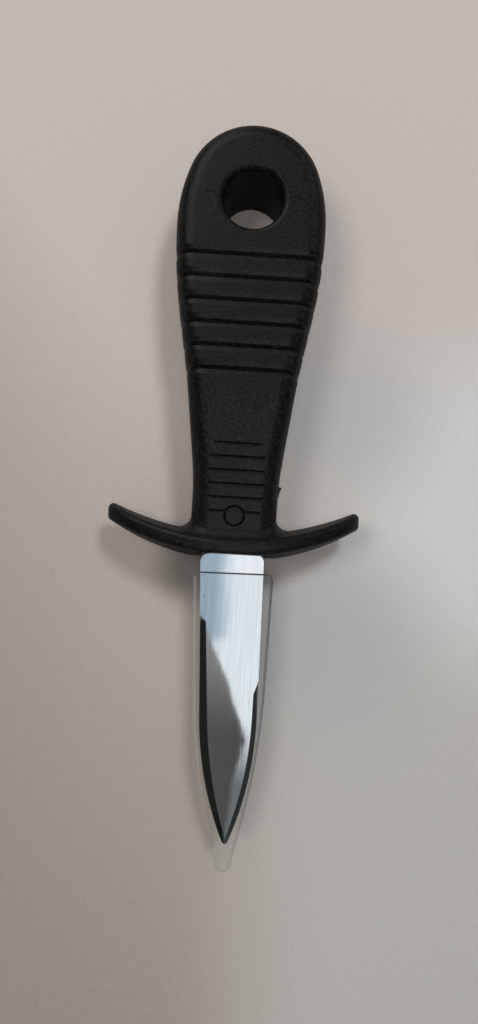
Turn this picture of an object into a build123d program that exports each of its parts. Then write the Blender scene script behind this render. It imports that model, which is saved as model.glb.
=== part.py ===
from build123d import *

import os
from math import asin, atan2, cos, degrees, radians, sin, sqrt, tan

# An oyster knife lying on its side: a moulded handle with a curved guard, a short
# double edged blade whose tang is buried in the handle, and a clear sleeve that slides off
# the blade. Stations are measured along the knife from the pommel's end towards the tip.
# X runs across the knife, +Y points at the pommel, and Z rises from the resting plane.

# Whole knife
handle_length = 96.4
half_thickness = 10.0
overrun = 5.0
facing_share = 0.5

# Handle outline, seen from above
pommel_radius = 15.5
belly_station = 23.0
belly_half_width = 16.85
shoulder_radius = 114.0
shoulder_angle = 10.3
flank_share = 0.26
waist_radius = 204.0
neck_angle = 7.3
taper_share = 0.43
neck_radius = 62.0
draft_angle = 2.0
edge_round = 4.0
guard_overlap = 1.0

# Neck thinning, seen from the side
fold_setback = 32.8
fold_radius = 60.0
neck_drop = 1.7

# Guard
guard_half_span = 28.3
guard_thickness = 4.6
guard_tip_thickness = 4.1
guard_rear_radius = 66.0
guard_front_reach = 1.45
rear_lean = 1.6
front_lean = 1.15
guard_cant = 0.88
rim_round = 1.1
root_round = 2.8
land_reach = 0.55
blade_seat_clearance = 0.15

# Hang hole
hang_hole_station = 18.3
hang_hole_radius = 6.7
hang_hole_round = 1.2

# Gripping grooves that wrap round the handle
band_groove_count = 6
band_groove_start = 31.0
band_groove_pitch = 5.09
band_groove_depth = 0.85
band_groove_width = 1.05
band_shoulder_depth = 0.24
band_shoulder_width = 1.9
band_clearance = 0.08

# Thumb grooves on both faces of the neck
thumb_groove_setback = 19.1
thumb_groove_pitch = 2.95
thumb_groove_depth = 0.5
neck_clearance = 0.3
thumb_groove_width = 0.95
thumb_groove_wall_run = 0.12
thumb_groove_half_length = 6.0
thumb_size_shares = (0.87, 1, 1, 1, 1, 0.92)

# Marks that the mould leaves
neck_mark_setback = 3.6
neck_mark_radius = 2.1
neck_mark_ring_width = 0.5
neck_mark_ring_depth = 0.45
pommel_mark_spacing = 18.7
pommel_mark_station = 18.8
pommel_mark_radius = 1.5
mark_depth = 0.15
gate_setback = 9.8
gate_length = 2.6
gate_reach = 0.9
gate_thickness = 1.6
gate_outline_shares = (
    (-0.5, -1),
    (-0.5, 0.5),
    (-0.42, 1),
    (-0.2, 0.62),
    (0.15, 0.4),
    (0.38, 0.32),
    (0.5, -1),
)
flash_setback = 15.2
flash_share = 0.9

# Blade
blade_offset = 0.2
blade_cant = 1.9
blade_thickness = 2.0
blade_base_half_width = 7.14
blade_point_station = 64.5
blade_taper_angle = 1.2
blade_bend_station = 36.5
blade_corner_round = 1.8
blade_tip_round = 0.75
edge_land = 0.4
left_bevel_start = 13.8
left_bevel_run_out = 1.3
left_bevel_width = 1.35
left_bevel_spread = 0.45
right_bevel_start = 28.0
right_bevel_run_out = 2.8
right_bevel_width = 1.0
right_bevel_spread = 0.1
face_point_setback = 2.5

# Tang
tang_length = 46.0
tang_half_width = 5.0
tang_end_round = 2.5
tang_hole_radius = 2.0
tang_hole_setbacks = (14.0, 34.0)

# Sleeve
sleeve_offset = 0.72
sleeve_cant = 1.1
sleeve_mouth_station = 4.1
sleeve_mouth_half_width = 9.0
sleeve_taper_angle = 2.2
sleeve_bend_station = 30.0
sleeve_bend_radius = 147.0
sleeve_bend_angle = 10.7
sleeve_end_round = 1.95
sleeve_corner_round = 1.9
film_thickness = 0.2
seam_width = 0.4
pocket_clearance = 0.3
pocket_round = 0.5


def sleeve_half_width(station):
    """Half the sleeve's width before its rim bends towards the tip."""
    return sleeve_mouth_half_width - (station - sleeve_mouth_station) * tan(radians(sleeve_taper_angle))


# Length of the knife in its sleeve
sleeve_nose_angle = sleeve_taper_angle + sleeve_bend_angle
sleeve_sine_gain = sin(radians(sleeve_nose_angle)) - sin(radians(sleeve_taper_angle))
sleeve_cosine_loss = cos(radians(sleeve_taper_angle)) - cos(radians(sleeve_nose_angle))
sleeve_bend_run = sleeve_bend_radius * sleeve_sine_gain
sleeve_bend_drop = sleeve_bend_radius * sleeve_cosine_loss
sleeve_nose_half_width = sleeve_half_width(sleeve_bend_station) - sleeve_bend_drop
sleeve_nose_station = sleeve_bend_station + sleeve_bend_run
sleeve_apex_station = sleeve_nose_station + sleeve_nose_half_width / tan(radians(sleeve_nose_angle))
sleeve_tip_centre = sleeve_apex_station - sleeve_end_round / sin(radians(sleeve_nose_angle))

# Planes
overall_length = handle_length + sleeve_tip_centre * cos(radians(sleeve_cant)) + sleeve_end_round
pommel_y = overall_length / 2
land_y = pommel_y - handle_length

knife_plane = Plane(origin=(0, pommel_y, half_thickness), x_dir=(0, -1, 0), z_dir=(0, 0, 1))
side_plane = Plane(origin=(0, pommel_y, half_thickness), x_dir=(0, -1, 0), z_dir=(-1, 0, 0))
front_plane = Plane(origin=(0, pommel_y, half_thickness), x_dir=(1, 0, 0), z_dir=(0, -1, 0))
blade_direction = (sin(radians(blade_cant)), -cos(radians(blade_cant)), 0)
blade_plane = Plane(origin=(blade_offset, land_y, half_thickness), x_dir=blade_direction, z_dir=(0, 0, 1))
sleeve_direction = (sin(radians(sleeve_cant)), -cos(radians(sleeve_cant)), 0)
sleeve_plane = Plane(origin=(sleeve_offset, land_y, half_thickness), x_dir=sleeve_direction, z_dir=(0, 0, 1))


# Blade
def blade_half_width(station):
    """Half the blade's width before the edges bend towards the point."""
    return blade_base_half_width - station * tan(radians(blade_taper_angle))


def add_edge_line(side, start, run_out, width, spread, point_station):
    """Draws one long edge of the blade from its base to its point."""
    ground = start + run_out
    inner = (ground, side * (blade_half_width(ground) - width))
    bend = (blade_bend_station, side * (blade_half_width(blade_bend_station) - width - spread))
    Polyline((0, side * blade_base_half_width), (start, side * blade_half_width(start)), inner)
    straight = Line(inner, bend)
    TangentArc(bend, (point_station, 0), tangent=straight % 1)


def blade_outline(share, point_station):
    """The blade's outline with its edges drawn in by the given share of the bevel widths."""
    left_sizes = (share * left_bevel_width, share * left_bevel_spread)
    right_sizes = (share * right_bevel_width, share * right_bevel_spread)
    with BuildSketch() as outline:
        with BuildLine():
            add_edge_line(-1, left_bevel_start, left_bevel_run_out, *left_sizes, point_station)
            add_edge_line(1, right_bevel_start, right_bevel_run_out, *right_sizes, point_station)
            Line((0, -blade_base_half_width), (0, blade_base_half_width))
        make_face()
    return outline.sketch


with BuildPart() as blade:
    # Ground half above the middle of the strip
    with BuildSketch(blade_plane):
        add(blade_outline(0, blade_point_station))
    extrude(amount=edge_land / 2)
    with BuildSketch(blade_plane.offset(edge_land / 2)):
        add(blade_outline(0, blade_point_station))
    with BuildSketch(blade_plane.offset(blade_thickness / 2)):
        add(blade_outline(1, blade_point_station - face_point_setback))
    loft(ruled=True)
    mirror(about=blade_plane)
    # Rounded point and base corners
    with BuildSketch(blade_plane) as blank_outline:
        add(blade_outline(0, blade_point_station))
        fillet(blank_outline.vertices().sort_by(Axis.X)[-1], blade_tip_round)
        fillet(blank_outline.vertices().sort_by(Axis.X)[:2], blade_corner_round)
    extrude(amount=blade_thickness, both=True, mode=Mode.INTERSECT)
    # Tang
    with BuildSketch(blade_plane) as tang_outline:
        with Locations((-tang_length / 2, 0)):
            Rectangle(tang_length, 2 * tang_half_width)
        fillet(tang_outline.vertices().group_by(Axis.X)[0], tang_end_round)
        with Locations(*[(-setback, 0) for setback in tang_hole_setbacks]):
            Circle(tang_hole_radius, mode=Mode.SUBTRACT)
    extrude(amount=blade_thickness / 2, both=True)
blade.part.label = "blade"


# Handle
belly_rise = belly_half_width - pommel_radius
belly_run = belly_station - pommel_radius
belly_radius = (belly_run**2 / belly_rise + pommel_radius + belly_half_width) / 2
belly_angle = degrees(asin(belly_run / (belly_radius - pommel_radius)))
guard_rear_station = handle_length - guard_thickness
root_station = guard_rear_station + rear_lean + guard_overlap
fold_station = guard_rear_station - fold_setback
fold_angle = degrees(atan2(neck_drop, guard_rear_station - fold_station))
root_half_thickness = half_thickness - (root_station - fold_station) * tan(radians(fold_angle))
shoulder_run = shoulder_radius * sin(radians(shoulder_angle))
waist_run = waist_radius * (sin(radians(shoulder_angle)) - sin(radians(neck_angle)))
neck_run = neck_radius * sin(radians(neck_angle))
straight_run = root_station - belly_station - shoulder_run - waist_run - neck_run
flank_length = flank_share * straight_run / cos(radians(shoulder_angle))
taper_length = taper_share * straight_run / cos(radians(neck_angle))


with BuildPart() as handle_half:
    with BuildSketch(knife_plane):
        with BuildLine():
            pommel = JernArc((0, 0), (0, -1), pommel_radius, 90 - belly_angle)
            belly = JernArc(pommel @ 1, pommel % 1, belly_radius, belly_angle)
            shoulder = JernArc(belly @ 1, belly % 1, shoulder_radius, shoulder_angle)
            flank = Line(shoulder @ 1, shoulder @ 1 + flank_length * (shoulder % 1))
            waist = JernArc(flank @ 1, flank % 1, waist_radius, neck_angle - shoulder_angle)
            taper = Line(waist @ 1, waist @ 1 + taper_length * (waist % 1))
            neck = JernArc(taper @ 1, taper % 1, neck_radius, -neck_angle)
            neck_half_width = abs((neck @ 1).Y)
            Polyline(neck @ 1, (root_station, -neck_half_width), (root_station, 0))
            mirror(about=Plane.XZ)
        make_face()
    extrude(amount=half_thickness + overrun, taper=draft_angle)
    # Level face over the belly, then a gentle slope down the neck
    with BuildSketch(side_plane) as side_outline:
        with BuildLine():
            Polyline(
                (-overrun, 0),
                (-overrun, half_thickness),
                (fold_station, half_thickness),
                (root_station, root_half_thickness),
                (root_station, 0),
                close=True,
            )
        make_face()
        upper_corners = side_outline.vertices().filter_by(lambda corner: corner.Y > root_half_thickness)
        fillet(upper_corners.sort_by(Axis.X)[-1], fold_radius)
    extrude(amount=belly_half_width + overrun, both=True, mode=Mode.INTERSECT)
    faces_up = handle_half.faces().filter_by(lambda face: face.normal_at().Z > facing_share)
    walls = handle_half.faces().filter_by(lambda face: abs(face.normal_at().Z) < facing_share)
    walls = walls - walls.sort_by(Axis.Y)[0:1]
    rims = [edge for edge in faces_up.edges() if any(edge.is_same(other) for other in walls.edges())]
    fillet(rims, edge_round)


# Arc of the guard's front, which leaves the named thickness at the tips
guard_rear_drop = guard_rear_radius - sqrt(guard_rear_radius**2 - guard_half_span**2)
guard_front_drop = guard_thickness + guard_front_reach + guard_rear_drop - guard_tip_thickness
guard_front_radius = (guard_front_drop**2 + guard_half_span**2) / (2 * guard_front_drop)
guard_tip_station = guard_rear_station - guard_rear_drop + guard_tip_thickness / 2
guard_axis = Axis((0, pommel_y - guard_tip_station, 0), (0, 0, 1))


def guard_arc(station, radius):
    """End, middle and end of an arc across the knife, foremost at the given station."""
    reach = guard_half_span + rim_round
    end = station - radius + sqrt(radius**2 - reach**2)
    return (end, -reach), (station, 0), (end, reach)


with BuildPart() as guard_half:
    # Thicker at the parting line than at the rim
    for height, lean in ((0, 0), (half_thickness, 1)):
        with BuildSketch(knife_plane.offset(height)):
            with BuildLine():
                rear = ThreePointArc(*guard_arc(guard_rear_station + lean * rear_lean, guard_rear_radius))
                front_station = handle_length + guard_front_reach - lean * front_lean
                front = ThreePointArc(*guard_arc(front_station, guard_front_radius))
                Line(rear @ 0, front @ 0)
                Line(rear @ 1, front @ 1)
            make_face()
    loft(ruled=True)
    # Oval rim, seen from the tip
    with BuildSketch(front_plane):
        Ellipse(guard_half_span, half_thickness)
    extrude(amount=handle_length + overrun, mode=Mode.INTERSECT)
    rim_edges = guard_half.faces().filter_by(GeomType.EXTRUSION).edges()
    rim_edges = rim_edges.filter_by(lambda edge: edge.center().Z > half_thickness + rim_round / 2)
    fillet(rim_edges, rim_round)
    # Flat land on both sides of the blade
    split(bisect_by=front_plane.offset(handle_length + land_reach), keep=Keep.BOTTOM)

with BuildPart() as handle_blank:
    add(handle_half.part)
    add(guard_half.part.rotate(guard_axis, guard_cant))
    root_edges = handle_blank.edges().filter_by(
        lambda edge: abs(edge.center().X) < belly_half_width
        and land_y + root_round < edge.center().Y < pommel_y - guard_rear_station + root_round / 2
        and half_thickness + root_round / 2 < edge.center().Z < 2 * half_thickness - rim_round
    )
    fillet(root_edges, root_round)
    mirror(about=knife_plane)


def band_core(station, inset):
    """Section of the handle at the station, drawn in by the inset."""
    measured = section(handle_blank.part, section_by=front_plane.offset(station)).bounding_box().size
    half_width = measured.X / 2 - inset
    height = measured.Z / 2 - inset
    lean = height * tan(radians(draft_angle))
    with BuildSketch(front_plane.offset(station)) as core:
        with BuildLine():
            Polyline(
                (half_width, 0),
                (half_width - lean, height),
                (lean - half_width, height),
                (-half_width, 0),
                (lean - half_width, -height),
                (half_width - lean, -height),
                close=True,
            )
        make_face()
        corners = core.vertices().group_by(Axis.Y)
        fillet(corners[0] + corners[-1], edge_round - inset)
    return core.sketch


def band_cutter(station):
    """Ring that leaves one gripping groove with softened shoulders round the handle."""
    profile = (
        (-band_shoulder_width, -band_clearance),
        (-band_groove_width / 2, band_shoulder_depth),
        (0, band_groove_depth),
        (band_groove_width / 2, band_shoulder_depth),
        (band_shoulder_width, -band_clearance),
    )
    with BuildPart() as cutter:
        with BuildSketch(front_plane.offset(station)):
            Rectangle(2 * (belly_half_width + overrun), 2 * (half_thickness + overrun))
        extrude(amount=band_shoulder_width, both=True)
        loft(
            sections=[band_core(station + along, inset).face() for along, inset in profile],
            ruled=True,
            mode=Mode.SUBTRACT,
        )
    return cutter.part


# The neck's sloping face, on which the thumb grooves and the ejector mark lie
neck_face = Plane(
    origin=(0, pommel_y - fold_station, 2 * half_thickness),
    x_dir=(0, -cos(radians(fold_angle)), -sin(radians(fold_angle))),
    z_dir=(0, -sin(radians(fold_angle)), cos(radians(fold_angle))),
)
slope_cosine = cos(radians(fold_angle))
neck_section = Plane(origin=neck_face.origin, x_dir=neck_face.x_dir, z_dir=(-1, 0, 0))

with BuildPart() as thumb_cutters:
    # Each groove has a steep wall on the side of the pommel and a floor that slopes up from it
    for groove, share in enumerate(thumb_size_shares):
        along = (fold_setback - thumb_groove_setback + groove * thumb_groove_pitch) / slope_cosine
        half_width = share * thumb_groove_width / 2
        with BuildSketch(neck_section) as groove_section:
            with BuildLine():
                Polyline(
                    (along - half_width, neck_clearance),
                    (along - half_width, 0),
                    (along - half_width + share * thumb_groove_wall_run, -share * thumb_groove_depth),
                    (along + half_width, 0),
                    (along + half_width, neck_clearance),
                    close=True,
                )
            make_face()
        extrude(amount=share * thumb_groove_half_length, both=True)

neck_mark_along = (fold_setback - neck_mark_setback) / slope_cosine

with BuildPart() as handle:
    add(handle_blank.part)
    for groove in range(band_groove_count):
        add(band_cutter(band_groove_start + groove * band_groove_pitch), mode=Mode.SUBTRACT)
    # Thumb grooves
    add(thumb_cutters.part, mode=Mode.SUBTRACT)
    add(thumb_cutters.part.mirror(knife_plane), mode=Mode.SUBTRACT)
    # Ejector mark on the neck, a plug with a fine ring round it
    with BuildSketch(neck_face.offset(-thumb_groove_depth)):
        with Locations((neck_mark_along, 0)):
            Circle(neck_mark_radius)
    extrude(amount=thumb_groove_depth)
    with BuildSketch(neck_section):
        with BuildLine():
            ring_inner = neck_mark_along + neck_mark_radius - neck_mark_ring_width / 2
            ring_outer = neck_mark_along + neck_mark_radius + neck_mark_ring_width / 2
            Polyline(
                (ring_inner, neck_clearance),
                (ring_inner, 0),
                (neck_mark_along + neck_mark_radius, -neck_mark_ring_depth),
                (ring_outer, 0),
                (ring_outer, neck_clearance),
                close=True,
            )
        make_face()
    revolve(axis=Axis((neck_face * Pos(neck_mark_along, 0, 0)).position, neck_face.z_dir), mode=Mode.SUBTRACT)
    # Ejector marks beside the hang hole
    with BuildSketch(knife_plane.offset(half_thickness - mark_depth)):
        with Locations(*[(pommel_mark_station, side * pommel_mark_spacing / 2) for side in (-1, 1)]):
            Circle(pommel_mark_radius)
    extrude(amount=mark_depth + overrun, mode=Mode.SUBTRACT)
    # Hang hole with rounded rims
    with BuildSketch(knife_plane):
        with Locations((hang_hole_station, 0)):
            Circle(hang_hole_radius)
    extrude(amount=half_thickness + overrun, both=True, mode=Mode.SUBTRACT)
    hole_rims = handle.edges().filter_by(GeomType.CIRCLE).filter_by(
        lambda edge: abs(edge.radius - hang_hole_radius) < mark_depth
        and abs(edge.center().Z - half_thickness) > edge_round
    )
    fillet(hole_rims, hang_hole_round)
    # Torn off gate and a rag of flash on the parting line
    for setback, share in ((gate_setback, 1), (flash_setback, flash_share)):
        with BuildSketch(knife_plane):
            with BuildLine():
                gate_station = guard_rear_station - setback
                gate_corners = [
                    (gate_station + along * share * gate_length, neck_half_width + out * share * gate_reach)
                    for along, out in gate_outline_shares
                ]
                Polyline(*gate_corners, close=True)
            make_face()
        extrude(amount=gate_thickness / 2, both=True)
    # Seat between the lands that the blade's base rests in
    with BuildSketch(front_plane.offset(handle_length)):
        with Locations((blade_offset, 0)):
            Rectangle(2 * (blade_base_half_width + blade_seat_clearance), 2 * (half_thickness + overrun))
    extrude(amount=guard_front_reach, mode=Mode.SUBTRACT)
    # Cavity round the tang
    add(blade.part, mode=Mode.SUBTRACT)
handle.part.label = "handle"


# Sleeve
def sleeve_outline(mouth_station):
    """The sleeve's outline from a straight mouth at the given station to a sharp nose."""
    with BuildSketch() as outline:
        with BuildLine():
            Polyline(
                (sleeve_bend_station, sleeve_half_width(sleeve_bend_station)),
                (mouth_station, sleeve_half_width(mouth_station)),
                (mouth_station, -sleeve_half_width(mouth_station)),
                (sleeve_bend_station, -sleeve_half_width(sleeve_bend_station)),
            )
            for side in (-1, 1):
                bend_start = (sleeve_bend_station, side * sleeve_half_width(sleeve_bend_station))
                nose_start = (sleeve_nose_station, side * sleeve_nose_half_width)
                taper = (cos(radians(sleeve_taper_angle)), -side * sin(radians(sleeve_taper_angle)))
                TangentArc(bend_start, nose_start, tangent=taper)
                Line(nose_start, (sleeve_apex_station, 0))
        make_face()
        fillet(outline.vertices().sort_by(Axis.X)[-1], sleeve_end_round)
    return outline.sketch


def pocket(inset, height, rounding):
    """One half of the room inside the sleeve, or of the film round it, past the mouth."""
    with BuildPart() as room:
        with BuildSketch(sleeve_plane):
            offset(sleeve_outline(sleeve_mouth_station - overrun), amount=-inset)
        extrude(amount=height)
        fillet(room.faces().sort_by(Axis.Z)[-1].edges(), rounding)
    return room.part


pocket_height = blade_thickness / 2 + pocket_clearance

with BuildPart() as sleeve_top_film:
    # Flat seam round a raised pocket
    with BuildSketch(sleeve_plane):
        add(sleeve_outline(sleeve_mouth_station))
    extrude(amount=film_thickness)
    add(pocket(seam_width, pocket_height + film_thickness, pocket_round + film_thickness))
    add(pocket(seam_width + film_thickness, pocket_height, pocket_round), mode=Mode.SUBTRACT)
    # Mouth with rounded corners
    with BuildSketch(sleeve_plane) as mouth_outline:
        add(sleeve_outline(sleeve_mouth_station))
        fillet(mouth_outline.vertices().group_by(Axis.X)[0], sleeve_corner_round)
    extrude(amount=pocket_height + overrun, mode=Mode.INTERSECT)
sleeve_top_film.part.label = "sleeve_top_film"

with BuildPart() as sleeve_bottom_film:
    add(sleeve_top_film.part.mirror(sleeve_plane))
sleeve_bottom_film.part.label = "sleeve_bottom_film"

os.makedirs("parts", exist_ok=True)
for piece in (handle, blade, sleeve_top_film, sleeve_bottom_film):
    export_step(piece.part, f"parts/{piece.part.label}.step")
    print(piece.part.label, piece.part.is_valid, round(piece.part.volume, 1), piece.part.bounding_box())
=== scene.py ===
from math import cos, radians, sin

import bpy
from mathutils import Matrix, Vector


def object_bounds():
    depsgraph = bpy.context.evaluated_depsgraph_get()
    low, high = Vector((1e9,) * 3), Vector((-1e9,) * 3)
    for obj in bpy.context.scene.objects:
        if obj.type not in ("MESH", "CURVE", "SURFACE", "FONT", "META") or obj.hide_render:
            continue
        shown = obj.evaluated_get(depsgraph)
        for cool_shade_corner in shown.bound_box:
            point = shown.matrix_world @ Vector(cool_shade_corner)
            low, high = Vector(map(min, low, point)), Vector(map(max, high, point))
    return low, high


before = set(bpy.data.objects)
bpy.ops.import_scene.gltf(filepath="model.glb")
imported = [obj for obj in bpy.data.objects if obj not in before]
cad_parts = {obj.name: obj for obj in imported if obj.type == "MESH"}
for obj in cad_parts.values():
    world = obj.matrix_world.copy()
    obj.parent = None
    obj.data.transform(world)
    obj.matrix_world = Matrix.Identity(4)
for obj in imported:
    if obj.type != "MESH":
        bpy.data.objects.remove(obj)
cad_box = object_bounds()
scene = bpy.context.scene

# Camera at the photograph's viewing angle, placed from the pommel's end
camera_across = -0.00112
camera_short_of_pommel = 0.09803
camera_height = 0.1771
camera_tilt, camera_roll, camera_turn = 3.8, -1.0, 3.44
camera_data = bpy.data.cameras.new("camera")
camera_data.sensor_width = 36.0
camera_data.lens = 26.02
camera_data.clip_start = 0.005
camera = bpy.data.objects.new("camera", camera_data)
camera.location = (camera_across, cad_box[1].y - camera_short_of_pommel, camera_height)
camera.rotation_euler = (radians(camera_tilt), radians(camera_roll), radians(camera_turn))
scene.collection.objects.link(camera)
scene.camera = camera


# Node helpers
def material(name):
    made = bpy.data.materials.new(name)
    made.use_nodes = True
    made.node_tree.nodes.clear()
    return made


def is_socket(value):
    return isinstance(value, bpy.types.NodeSocket)


def add(tree, kind, settings=None, inputs=None):
    """Adds a node with the given properties, and links or values for its inputs."""
    made = tree.nodes.new(kind)
    for key, value in (settings or {}).items():
        setattr(made, key, value)
    for key, value in (inputs or {}).items():
        if is_socket(value):
            tree.links.new(value, made.inputs[key])
        else:
            made.inputs[key].default_value = value
    return made


def object_place(tree):
    return add(tree, "ShaderNodeTexCoord").outputs["Object"]


def split_axes(tree, place):
    return add(tree, "ShaderNodeSeparateXYZ", inputs={0: place}).outputs


def noise(tree, place, scale, detail=2.0, roughness=0.5, distortion=0.0):
    return add(tree, "ShaderNodeTexNoise", inputs={
        "Vector": place, "Scale": scale, "Detail": detail,
        "Roughness": roughness, "Distortion": distortion,
    }).outputs["Fac"]


def stretched_noise(tree, place, scales, detail, roughness, distortion=0.0):
    """Noise with a scale of its own along each axis."""
    scaled = add(tree, "ShaderNodeMapping", inputs={"Vector": place, "Scale": scales})
    return noise(tree, scaled.outputs["Vector"], 1.0, detail, roughness, distortion)


def ramp(tree, value, low, high, to_low=0.0, to_high=1.0, smooth=False):
    """Maps low to high onto to_low to to_high, and holds the ends beyond."""
    return add(
        tree, "ShaderNodeMapRange", {"interpolation_type": "SMOOTHSTEP" if smooth else "LINEAR"},
        {"Value": value, "From Min": low, "From Max": high, "To Min": to_low, "To Max": to_high},
    ).outputs["Result"]


def maths(tree, operation, *values):
    return add(tree, "ShaderNodeMath", {"operation": operation}, dict(enumerate(values))).outputs[0]


def weighted(tree, value, weight, onto=None):
    """Value times weight, added onto another value where one is given."""
    if onto is None:
        return maths(tree, "MULTIPLY", value, weight)
    return maths(tree, "MULTIPLY_ADD", value, weight, onto)


def away_from(tree, value, middle):
    return maths(tree, "ABSOLUTE", maths(tree, "SUBTRACT", value, middle))


def vector_value(tree, operation, *vectors):
    return add(tree, "ShaderNodeVectorMath", {"operation": operation}, dict(enumerate(vectors))).outputs["Value"]


def mixed(tree, share, low, high):
    """A colour between two others, each a socket or red, green and blue."""
    low, high = (colour if is_socket(colour) else (*colour, 1) for colour in (low, high))
    return add(tree, "ShaderNodeMix", {"data_type": "RGBA"}, {0: share, 6: low, 7: high}).outputs[2]


def mixed_value(tree, share, low, high):
    return add(tree, "ShaderNodeMix", {"data_type": "FLOAT"}, {0: share, 2: low, 3: high}).outputs[0]


def bump(tree, height, distance, strength):
    inputs = {"Height": height, "Distance": distance, "Strength": strength}
    return add(tree, "ShaderNodeBump", inputs=inputs).outputs["Normal"]


def is_glossy_ray(tree):
    return add(tree, "ShaderNodeLightPath").outputs["Is Glossy Ray"]


def principled(tree, inputs):
    return add(tree, "ShaderNodeBsdfPrincipled", inputs=inputs).outputs["BSDF"]


def finish_surface(tree, shader, output="ShaderNodeOutputMaterial"):
    add(tree, output, inputs={"Surface": shader})


# Black moulded plastic with a fine grain, flow marks, rubbed spots and scratches
plastic_black, plastic_grey = (0.0001, 0.0001, 0.0002), (0.0125, 0.0121, 0.0119)
plastic_relief = 0.000022


def handle_plastic():
    made = material("handle_plastic")
    tree = made.node_tree
    place = object_place(tree)
    grain = noise(tree, place, scale=5200.0, roughness=0.6)
    speckle = ramp(tree, noise(tree, place, scale=1900.0, roughness=0.7), 0.46, 0.62)
    flow = stretched_noise(tree, place, (120.0, 45.0, 120.0), detail=4.0, roughness=0.55, distortion=0.6)
    rubbed = noise(tree, place, scale=160.0, detail=5.0, roughness=0.65)
    rubbed = ramp(tree, rubbed, 0.56, 0.74, smooth=True)
    scratches = stretched_noise(tree, place, (900.0, 70.0, 400.0), detail=3.0, roughness=0.7, distortion=1.4)
    scratches = ramp(tree, scratches, 0.66, 0.72)

    tone = weighted(tree, rubbed, 0.25)
    tone = weighted(tree, flow, 0.35, onto=tone)
    tone = weighted(tree, speckle, 0.62, onto=tone)
    rough = weighted(tree, grain, 0.10, onto=0.30)
    rough = weighted(tree, rubbed, -0.07, onto=rough)
    height = weighted(tree, flow, 1.2, onto=grain)
    height = weighted(tree, scratches, -0.5, onto=height)
    finish_surface(tree, principled(tree, {
        "Base Color": mixed(tree, tone, plastic_black, plastic_grey),
        "Roughness": rough,
        "Normal": bump(tree, height, plastic_relief, strength=0.35),
        "IOR": 1.49,
    }))
    return made


# Ground and polished stainless steel, brushed along the blade, with a few pits
steel_dull, steel_bright = (0.60, 0.61, 0.63), (0.75, 0.76, 0.78)
steel_pitted = (0.10, 0.10, 0.11)
steel_relief = 0.0000007


def blade_steel():
    made = material("blade_steel")
    tree = made.node_tree
    place = object_place(tree)
    brushing = stretched_noise(tree, place, (5200.0, 60.0, 5200.0), detail=4.0, roughness=0.7)
    bands = stretched_noise(tree, place, (900.0, 26.0, 900.0), detail=3.0, roughness=0.6)
    pits = ramp(tree, noise(tree, place, scale=620.0), 0.735, 0.775)
    haze = noise(tree, place, scale=90.0, detail=4.0, roughness=0.6)

    colour = mixed(tree, ramp(tree, brushing, 0.30, 0.70), steel_dull, steel_bright)
    colour = mixed(tree, weighted(tree, pits, 0.6), colour, steel_pitted)
    rough = weighted(tree, bands, 0.030, onto=0.004)
    rough = weighted(tree, haze, 0.016, onto=rough)
    height = weighted(tree, pits, -0.8, onto=brushing)
    height = weighted(tree, bands, 2.0, onto=height)
    finish_surface(tree, principled(tree, {
        "Base Color": colour,
        "Metallic": 1.0,
        "Roughness": rough,
        "Normal": bump(tree, height, steel_relief, strength=0.5),
    }))
    return made


# Clear film, which shows at its welded rim, along its mouth and where it turns away, with a painted highlight on
# its left rim, painted shade on its right rim and a painted dark shade line along its mouth
sleeve_cant = radians(1.1)
film_corners = [cool_shade_corner.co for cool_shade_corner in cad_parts["sleeve_top_film"].data.vertices]
mouth_reach = max(cos(sleeve_cant) * cool_shade_corner.y - sin(sleeve_cant) * cool_shade_corner.x for cool_shade_corner in film_corners)
seam_height = min(cool_shade_corner.z for cool_shade_corner in film_corners)
film_clear = (0.985, 0.99, 0.99, 1)
# Painted highlight colour for the left rim, painted shade colour for the right rim and for the mouth line
rim_painted_highlight_left, rim_painted_shade_right = (0.42, 0.41, 0.38), (0.035, 0.04, 0.045)
mouth_painted_shade_line = (0.03, 0.035, 0.04)


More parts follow.
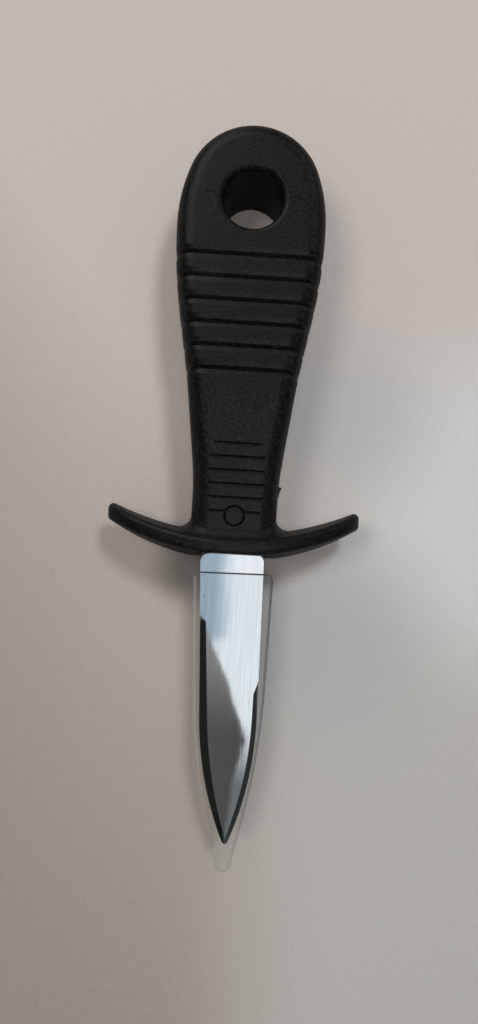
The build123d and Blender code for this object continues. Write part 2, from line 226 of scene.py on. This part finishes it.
def sleeve_film():
    made = material("sleeve_film")
    tree = made.node_tree
    place = object_place(tree)
    across, along, up = split_axes(tree, place)
    scuffs = stretched_noise(tree, place, (500.0, 60.0, 300.0), detail=4.0, roughness=0.7, distortion=0.8)
    scuffs = ramp(tree, scuffs, 0.60, 0.78)
    ripple = noise(tree, place, scale=140.0, detail=3.0)
    normal = bump(tree, ripple, 0.00008, strength=0.5)
    facing = add(tree, "ShaderNodeLayerWeight", inputs={"Blend": 0.3, "Normal": normal}).outputs["Facing"]
    mouth = vector_value(tree, "DOT_PRODUCT", place, (-sin(sleeve_cant), cos(sleeve_cant), 0))
    mouth = ramp(tree, mouth, mouth_reach - 0.00045, mouth_reach - 0.00025, smooth=True)
    seam = ramp(tree, away_from(tree, up, seam_height), 0.00030, 0.00022)

    # The rim shows more on the right, and fades towards the tip
    right = ramp(tree, across, -0.002, 0.004, smooth=True)
    fading = ramp(tree, along, -0.080, -0.022, to_low=0.12)
    rim_share = weighted(tree, fading, weighted(tree, right, 0.4, onto=0.5))
    cover = weighted(tree, maths(tree, "POWER", facing, 3.0), 0.52)
    cover = maths(tree, "MAXIMUM", cover, weighted(tree, seam, 0.36))
    cover = weighted(tree, cover, rim_share, onto=0.010)
    cover = weighted(tree, scuffs, 0.015, onto=cover)
    cover = maths(tree, "MAXIMUM", cover, weighted(tree, mouth, 0.66))
    clear = add(tree, "ShaderNodeBsdfTransparent", inputs={"Color": film_clear}).outputs[0]
    # Painted colour: a pale highlight on the left rim, dark shade on the right rim and a dark shade line along the
    # mouth
    gloss = principled(tree, {
        "Base Color": mixed(tree, mouth, mixed(tree, right, rim_painted_highlight_left, rim_painted_shade_right), mouth_painted_shade_line),
        "Roughness": weighted(tree, scuffs, 0.2, onto=0.10),
        "Normal": normal,
        "IOR": 1.5,
    })
    finish_surface(tree, add(tree, "ShaderNodeMixShader", inputs={0: cover, 1: clear, 2: gloss}).outputs[0])
    return made


looks = {"handle": handle_plastic(), "blade": blade_steel(), "sleeve_top_film": sleeve_film()}
looks["sleeve_bottom_film"] = looks["sleeve_top_film"]
for node, look in looks.items():
    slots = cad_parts[node].data.materials
    if not len(slots):
        slots.append(look)
    for slot in range(len(slots)):
        slots[slot] = look

# Pale table top with painted light and shade near the knife (a painted dim shade, a painted cool shade, a painted
# pool of light and a painted bluish shadow), which turns plain further out
floor_painted_dim_shade, floor_warm = (0.262, 0.229, 0.198), (0.446, 0.402, 0.374)
floor_painted_cool_shade = (0.380, 0.369, 0.347)
floor_painted_light_pool = (0.485, 0.487, 0.482)
floor_painted_bluish_shade = (0.338, 0.350, 0.356)
floor_plain = (0.446, 0.414, 0.392)
floor_level_in_gloss = 0.36


def spot(tree, place, middle, outer, inner, at_outer=0.0, at_inner=1.0):
    """A soft round spot on the floor."""
    away = vector_value(tree, "DISTANCE", place, (*middle, 0))
    return ramp(tree, away, outer, inner, at_outer, at_inner, smooth=True)


def floor_paint():
    made = material("floor_paint")
    tree = made.node_tree
    place = object_place(tree)
    across, along, _ = split_axes(tree, place)
    mottle = noise(tree, place, scale=420.0, detail=3.0, roughness=0.6)
    cloud = noise(tree, place, scale=9.0)

    # Painted shade: warm, and darker towards the tip's left, where less light falls
    slant = weighted(tree, across, 0.8, onto=weighted(tree, along, 0.6))
    share = maths(tree, "POWER", ramp(tree, slant, -0.115, 0.0), 2.0)
    share = weighted(tree, cloud, 0.10, onto=share)
    share = weighted(tree, mottle, 0.16, onto=maths(tree, "SUBTRACT", share, 0.13))
    colour = mixed(tree, share, floor_painted_dim_shade, floor_warm)

    # Painted light and shade: a cooler painted shade at the tip's right, a painted pool of light right of the
    # guard and painted bluish shadow beside the knife
    cool_shade_corner = weighted(tree, ramp(tree, across, -0.010, 0.030, smooth=True),
                      ramp(tree, along, -0.010, -0.040, smooth=True))
    colour = mixed(tree, cool_shade_corner, colour, floor_painted_cool_shade)
    colour = mixed(tree, spot(tree, place, (0.064, 0.002), 0.056, 0.016), colour, floor_painted_light_pool)
    shade_low = spot(tree, place, (0.026, -0.034), 0.036, 0.004, at_inner=0.90)
    shade_high = spot(tree, place, (0.026, 0.022), 0.032, 0.004, at_inner=0.60)
    colour = mixed(tree, maths(tree, "MAXIMUM", shade_low, shade_high), colour, floor_painted_bluish_shade)
    outward = vector_value(tree, "LENGTH", place)
    colour = mixed(tree, ramp(tree, outward, 0.125, 0.30, smooth=True), colour, floor_plain)

    # Shade in the nook under the guard's left half, fine grain, and a dim floor in the gloss
    nook = spot(tree, place, (-0.0090, -0.0170), 0.0130, 0.0020, at_outer=1.0, at_inner=0.42)
    grain = noise(tree, place, scale=1500.0, detail=3.0, roughness=0.7)
    level = weighted(tree, nook, ramp(tree, grain, 0.30, 0.70, to_low=0.94, to_high=1.06))
    seen = ramp(tree, is_glossy_ray(tree), 0.0, 1.0, to_low=1.0, to_high=floor_level_in_gloss)
    dimmed = add(tree, "ShaderNodeMix", {"data_type": "RGBA", "blend_type": "MULTIPLY"}, {
        0: 1.0, 6: colour, 7: weighted(tree, seen, level),
    }).outputs[2]
    finish_surface(tree, principled(tree, {
        "Base Color": dimmed,
        "Roughness": 0.55,
        "Normal": bump(tree, mottle, 0.00003, strength=0.3),
    }))
    return made


floor_reach = 3.0
floor_below_knife = 0.00005
floor_mesh = bpy.data.meshes.new("floor")
floor_mesh.from_pydata(
    [(-floor_reach, -floor_reach, 0), (floor_reach, -floor_reach, 0),
     (floor_reach, floor_reach, 0), (-floor_reach, floor_reach, 0)],
    [], [(0, 1, 2, 3)],
)
floor_mesh.materials.append(floor_paint())
floor = bpy.data.objects.new("floor", floor_mesh)
floor.location.z = -floor_below_knife
scene.collection.objects.link(floor)


# Lamps, which light the object without showing in its gloss
def lamp(name, place, size, energy, colour):
    data = bpy.data.lights.new(name, "AREA")
    data.shape = "DISK"
    data.size = size
    data.energy = energy
    data.color = colour
    made = bpy.data.objects.new(name, data)
    made.location = place
    made.rotation_mode = "QUATERNION"
    made.rotation_quaternion = (Vector((0, 0, 0)) - Vector(place)).to_track_quat("-Z", "Y")
    made.visible_glossy = False
    scene.collection.objects.link(made)


lamp("warm_lamp", (-0.38, 0.12, 0.82), size=0.34, energy=2.7, colour=(1.0, 0.94, 0.88))
lamp("cool_lamp", (0.26, 0.40, 0.82), size=0.18, energy=4.1, colour=(0.92, 0.96, 1.0))
lamp("top_lamp", (0.0, -0.08, 0.95), size=0.24, energy=1.5, colour=(0.98, 0.98, 1.0))

# World: an even room for plain light, and another room for what shows in the gloss
world = bpy.data.worlds.new("room")
scene.world = world
world.use_nodes = True
tree = world.node_tree
tree.nodes.clear()
heading = add(tree, "ShaderNodeTexCoord").outputs["Generated"]
across, along, up = split_axes(tree, heading)
lowest_up = 0.02
slope_x = maths(tree, "DIVIDE", across, maths(tree, "MAXIMUM", up, lowest_up))
slope_y = maths(tree, "DIVIDE", along, maths(tree, "MAXIMUM", up, lowest_up))
plain_colour, plain_strength = (1.0, 0.985, 0.97, 1), 0.38
gloss_colour, gloss_blue, gloss_warm = (0.95, 0.995, 1.02), (0.74, 0.94, 1.12), (1.03, 0.98, 0.96)


def ceiling_level():
    """Brightest overhead, with a paler strip low behind the pommel, and brighter left than right there."""
    level = ramp(tree, along, 0.68, 0.42, to_low=0.58, smooth=True)
    level = weighted(tree, level, ramp(tree, along, -0.75, 0.05, to_low=0.30, smooth=True))
    strip = ramp(tree, away_from(tree, along, 0.88), 0.12, 0.04, smooth=True)
    level = weighted(tree, strip, 0.42, onto=level)
    level = weighted(tree, level, ramp(tree, along, 0.93, 0.995, to_low=1.0, to_high=0.30, smooth=True))
    level = weighted(tree, level, ramp(tree, maths(tree, "ABSOLUTE", across), 0.50, 0.20, smooth=True))
    far_side = ramp(tree, along, 0.28, 0.52, smooth=True)
    sideways = weighted(tree, far_side, ramp(tree, across, -0.16, 0.08, to_low=1.40, to_high=-1.0))
    return weighted(tree, level, sideways, onto=level)


def glow_towards(direction, edge, middle):
    return ramp(tree, vector_value(tree, "DOT_PRODUCT", heading, direction), edge, middle, smooth=True)


# Level of the room round the panel: ceiling, walls, horizon, a strip at the far left and two glows
room_level = weighted(tree, ceiling_level(), 0.18, onto=ramp(tree, across, -0.5, 0.6, to_low=0.004, to_high=0.036))
room_level = weighted(tree, ramp(tree, up, 0.16, 0.02, smooth=True), 0.05, onto=room_level)
left_strip = weighted(tree, ramp(tree, across, -0.93, -0.98, smooth=True), 0.14)
room_level = maths(tree, "ADD", room_level, left_strip)
glow = glow_towards((-0.42, 0.62, 0.663), 0.875, 0.97)
room_level = weighted(tree, glow, 0.65, onto=room_level)
faint_glow = glow_towards((0.56, 0.60, 0.571), 0.90, 0.97)
room_level = weighted(tree, faint_glow, 0.22, onto=room_level)

# Window over the blade: a bright panel, cut off by a dark patch with slanting edges
window_middle = -0.19
window = weighted(
    tree,
    ramp(tree, maths(tree, "ABSOLUTE", maths(tree, "ADD", slope_y, -window_middle)), 0.25, 0.215, smooth=True),
    ramp(tree, maths(tree, "ABSOLUTE", slope_x), 0.20, 0.12, smooth=True),
)
wobble = noise(tree, heading, scale=26.0, detail=3.0, roughness=0.6)
wavy_x = weighted(tree, wobble, 0.008, onto=maths(tree, "ADD", slope_x, -0.004))
long_edge = maths(tree, "MINIMUM", weighted(tree, slope_y, -0.378, onto=-0.0487),
                  weighted(tree, slope_y, -0.477, onto=-0.0644))
short_edge = weighted(tree, slope_y, 0.286, onto=0.1078)
tip_edge = weighted(tree, slope_y, 0.071, onto=0.0459)
patch_edge = maths(tree, "MINIMUM", long_edge, maths(tree, "MAXIMUM", short_edge, tip_edge))
panel = ramp(tree, maths(tree, "SUBTRACT", wavy_x, patch_edge), -0.0012, 0.0012, smooth=True)

# The panel is streaked along the blade, dimmer and bluer at its left, with a notch beside the patch
streaks = stretched_noise(tree, heading, (190.0, 9.0, 9.0), detail=3.0, roughness=0.6)
streaked_x = weighted(tree, streaks, 0.034, onto=maths(tree, "ADD", slope_x, -0.017))
notch = ramp(tree, slope_y, -0.098, -0.112, to_high=0.012, smooth=True)
streaked_x = maths(tree, "ADD", streaked_x, notch)
shade_left = ramp(tree, streaked_x, -0.016, 0.017, to_low=0.50, smooth=True)
shade_down = ramp(tree, slope_y, -0.30, -0.20, to_low=0.20, smooth=True)
panel_level = weighted(tree, weighted(tree, shade_down, shade_left), 1.20)
patch_level = ramp(tree, slope_y, -0.24, -0.10, to_low=0.105, to_high=0.32, smooth=True)
window_level = mixed_value(tree, panel, patch_level, panel_level)
gloss_level = mixed_value(tree, window, room_level, window_level)

left_part = ramp(tree, streaked_x, 0.017, -0.016, smooth=True)
blue_share = weighted(tree, window, weighted(tree, panel, left_part))
warm_share = weighted(tree, window, maths(tree, "SUBTRACT", 1.0, panel))
colour = mixed(tree, blue_share, gloss_colour, gloss_blue)
colour = mixed(tree, maths(tree, "MAXIMUM", glow, warm_share), colour, gloss_warm)
for_gloss = add(tree, "ShaderNodeBackground", inputs={"Color": colour, "Strength": gloss_level})
plain = add(tree, "ShaderNodeBackground", inputs={"Color": plain_colour, "Strength": plain_strength})
choice = add(tree, "ShaderNodeMixShader", inputs={
    0: is_glossy_ray(tree), 1: plain.outputs[0], 2: for_gloss.outputs[0],
})
finish_surface(tree, choice.outputs[0], output="ShaderNodeOutputWorld")

scene.view_settings.view_transform = "Standard"
